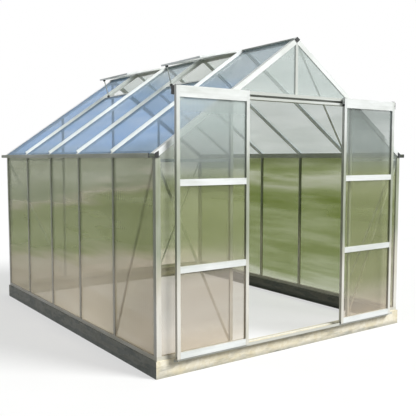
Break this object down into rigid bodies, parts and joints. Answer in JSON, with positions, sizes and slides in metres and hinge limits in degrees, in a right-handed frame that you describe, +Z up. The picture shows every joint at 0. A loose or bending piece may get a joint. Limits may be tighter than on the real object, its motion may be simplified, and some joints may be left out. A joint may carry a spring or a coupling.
{
  "type": "greenhouse",
  "caption": "Free-standing hobby greenhouse with an aluminium frame, twin-wall panes, a steel base, ridge vents, and sliding doors that part along a track across the gable.",
  "frame": {"origin": "on the ground under the middle of the whole house", "axes": "+Z up, the gable with the doors faces -Y, the vented roof slope faces -X"},
  "size_m": [2.61, 3.2, 2.4037],
  "materials": {
    "mill_aluminium": "mill finish extrusions",
    "twin_wall_sheet": "twin-wall polycarbonate sheet",
    "galvanised_steel": "hot-dip galvanised, spangled",
    "black_plastic": "moulded, matt",
    "roller_nylon": "moulded nylon"
  },
  "bodies": {
    "house": {"base_ends": "galvanised_steel", "base_sides": "galvanised_steel", "corner_posts": "mill_aluminium", "door_guide": "mill_aluminium", "door_header": "mill_aluminium", "door_jambs": "mill_aluminium", "door_track": "mill_aluminium", "eave_beams": "mill_aluminium", "gable_braces": "mill_aluminium", "gable_mullion": "mill_aluminium", "gable_rafters": "mill_aluminium", "gable_ties": "mill_aluminium", "gutter_end_caps": "black_plastic", "gutter_lips": "mill_aluminium", "gutters": "mill_aluminium", "panes_front": "twin_wall_sheet", "panes_gable_top": "twin_wall_sheet", "panes_left": "twin_wall_sheet", "panes_rear": "twin_wall_sheet", "panes_right": "twin_wall_sheet", "panes_roof_left": "twin_wall_sheet", "panes_roof_right": "twin_wall_sheet", "rafters": "mill_aluminium", "ridge_bar": "mill_aluminium", "ridge_end_caps": "black_plastic", "roof_brace": "mill_aluminium", "sill_rear": "mill_aluminium", "sills_front": "mill_aluminium", "sills_side": "mill_aluminium", "studs_rear": "mill_aluminium", "studs_side": "mill_aluminium", "threshold": "mill_aluminium", "track_end_caps": "black_plastic", "vent_frames": "mill_aluminium", "vent_panes": "twin_wall_sheet", "vent_sills": "mill_aluminium", "vent_stays": "mill_aluminium", "wall_braces": "mill_aluminium"},
    "left_door": {"door_left_panes": "twin_wall_sheet", "door_left_plugs": "black_plastic", "door_left_rails": "mill_aluminium", "door_left_rollers": "roller_nylon", "door_left_stiles": "mill_aluminium"},
    "right_door": {"door_right_panes": "twin_wall_sheet", "door_right_plugs": "black_plastic", "door_right_rails": "mill_aluminium", "door_right_rollers": "roller_nylon", "door_right_stiles": "mill_aluminium"}
  },
  "joints": [
    {"name": "left_door_slide", "type": "slide", "parent": "house", "child": "left_door", "axis": [1, 0, 0], "range_m": [0, 0.511]},
    {"name": "right_door_slide", "type": "slide", "parent": "house", "child": "right_door", "axis": [-1, 0, 0], "range_m": [-0.053, 0.458]}
  ]
}
